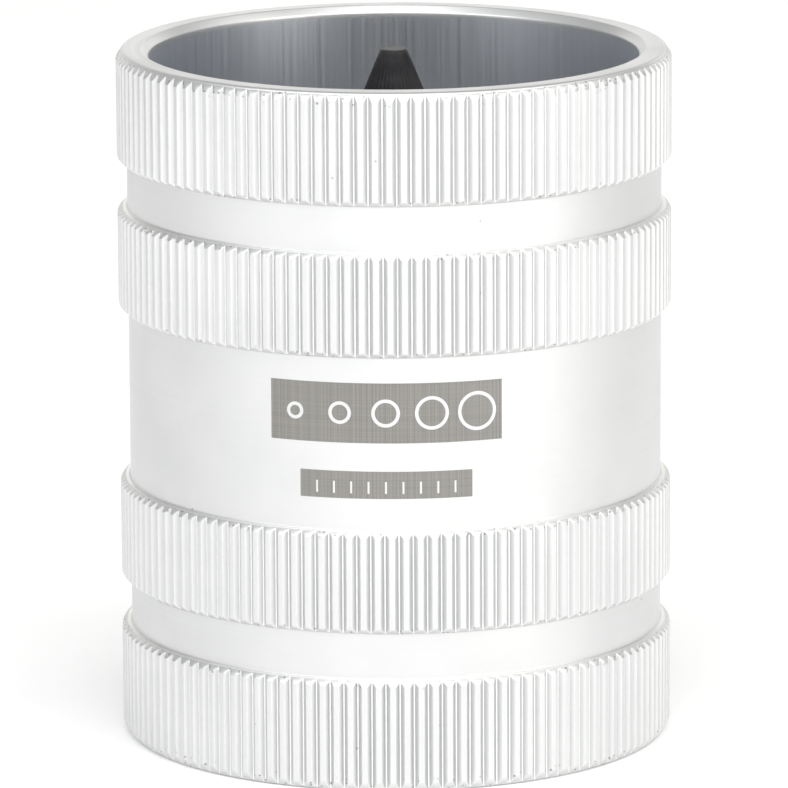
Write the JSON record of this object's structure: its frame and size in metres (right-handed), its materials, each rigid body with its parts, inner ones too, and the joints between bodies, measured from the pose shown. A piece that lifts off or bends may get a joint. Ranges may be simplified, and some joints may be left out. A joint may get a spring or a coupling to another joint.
{
  "type": "tube deburring tool",
  "caption": "Cylindrical hand tool with knurled grip bands, a bladed cone in its open top for the inside edge of a tube and a bladed funnel below for the outside edge.",
  "frame": {"origin": "centre of the bottom end, the funnel end, on the face the tool stands on", "axes": "+Z along the barrel, up towards the point of the cone; +X and +Y across it"},
  "size_m": [0.065, 0.065, 0.0815],
  "materials": {
    "barrel": "turned, straight-knurled, satin silver anodised, bore left darker grey",
    "core": "hardened steel, black oxide, fluted point",
    "blade": "hardened steel, black oxide with ground cutting edges",
    "comb_ring": "turned and slotted steel, dull grey phosphate",
    "retaining_ring": "spring steel, oiled phosphate"
  },
  "bodies": {
    "root": {"barrel": "barrel", "core": "core", "comb_ring": "comb_ring", "retaining_ring": "retaining_ring", "blade_01": "blade", "blade_02": "blade", "blade_03": "blade", "blade_04": "blade", "blade_05": "blade", "blade_06": "blade", "blade_07": "blade", "blade_08": "blade", "blade_09": "blade", "blade_10": "blade", "blade_11": "blade", "blade_12": "blade", "blade_13": "blade", "blade_14": "blade", "blade_15": "blade", "blade_16": "blade", "blade_17": "blade", "blade_18": "blade", "blade_19": "blade", "blade_20": "blade", "blade_21": "blade", "blade_22": "blade", "blade_23": "blade", "blade_24": "blade", "blade_25": "blade", "blade_26": "blade", "blade_27": "blade", "blade_28": "blade", "blade_29": "blade", "blade_30": "blade", "blade_31": "blade", "blade_32": "blade", "blade_33": "blade", "blade_34": "blade", "blade_35": "blade", "blade_36": "blade", "blade_37": "blade", "blade_38": "blade", "blade_39": "blade", "blade_40": "blade"}
  },
  "joints": []
}
